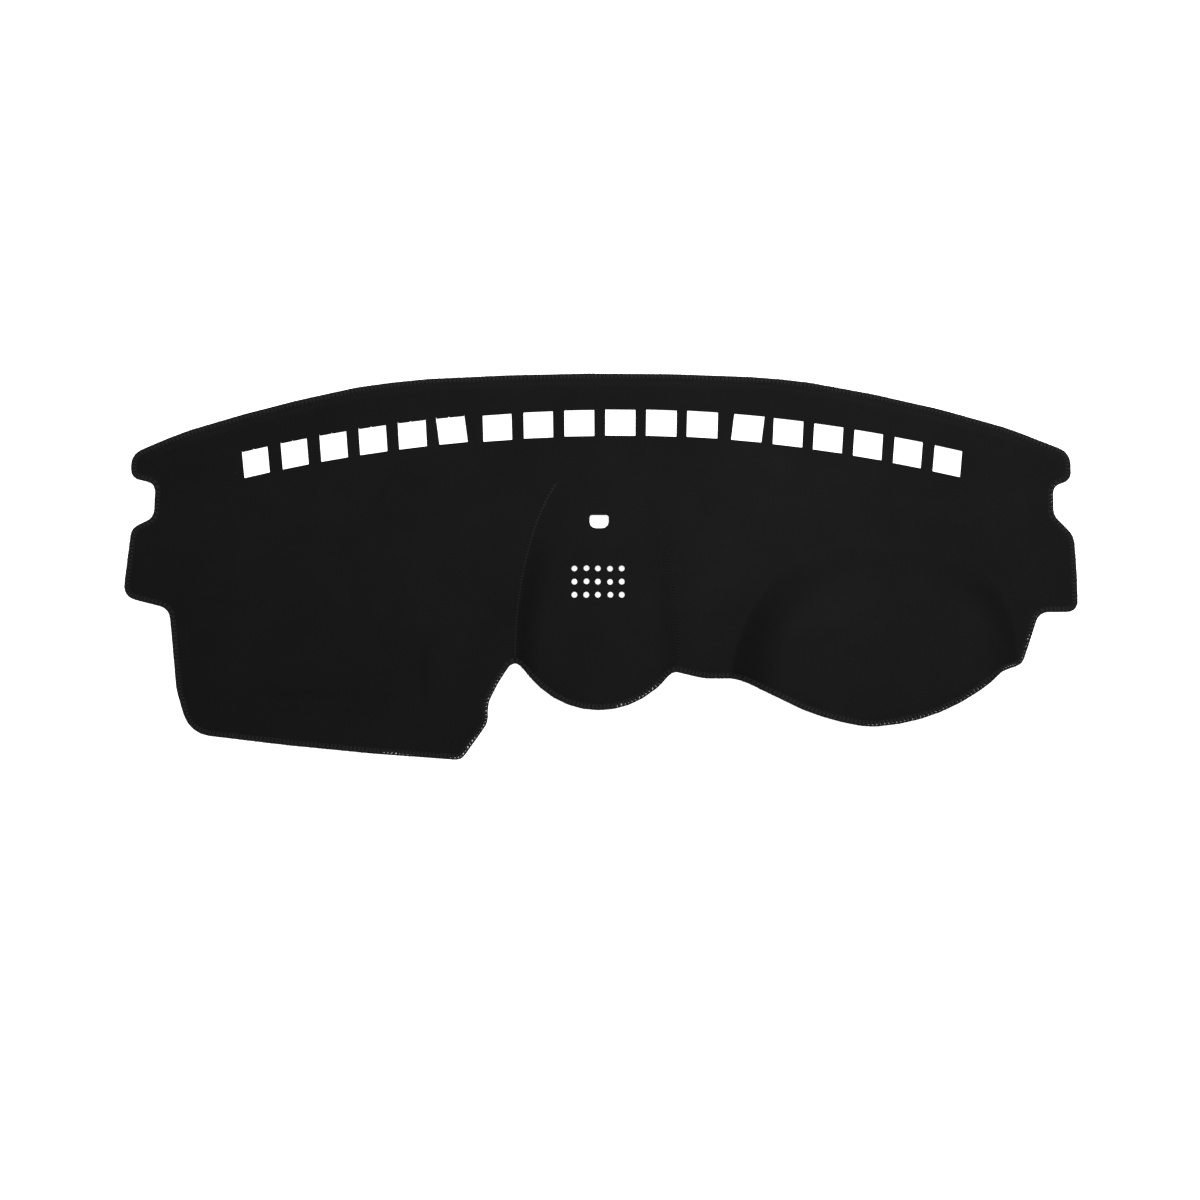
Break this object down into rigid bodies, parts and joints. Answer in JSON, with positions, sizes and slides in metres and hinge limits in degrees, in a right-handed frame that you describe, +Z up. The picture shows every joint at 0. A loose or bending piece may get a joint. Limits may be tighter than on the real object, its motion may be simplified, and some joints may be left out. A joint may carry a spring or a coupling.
{
  "type": "dashboard cover mat",
  "caption": "Felt mat cut to lie over a car dashboard, with a raised centre hump, an instrument hood, demister windows and overlocked edges.",
  "frame": {"origin": "middle of the mat's bounding box, on the floor that the mat lies on", "axes": "+X along the mat to its right end as seen from above with the windscreen edge up, +Y from the seats to the windscreen edge, +Z up from the underside"},
  "size_m": [1.4004, 0.5676, 0.072],
  "materials": {
    "felt": "matt black needled felt",
    "edging_yarn": "black overlock yarn, a little glossier than the felt",
    "seam_yarn": "black sewing yarn, a little glossier than the felt"
  },
  "bodies": {
    "root": {"felt_mat": "felt", "edge_overlock": "edging_yarn", "hump_seam_left": "seam_yarn", "hump_seam_right": "seam_yarn"}
  },
  "joints": []
}
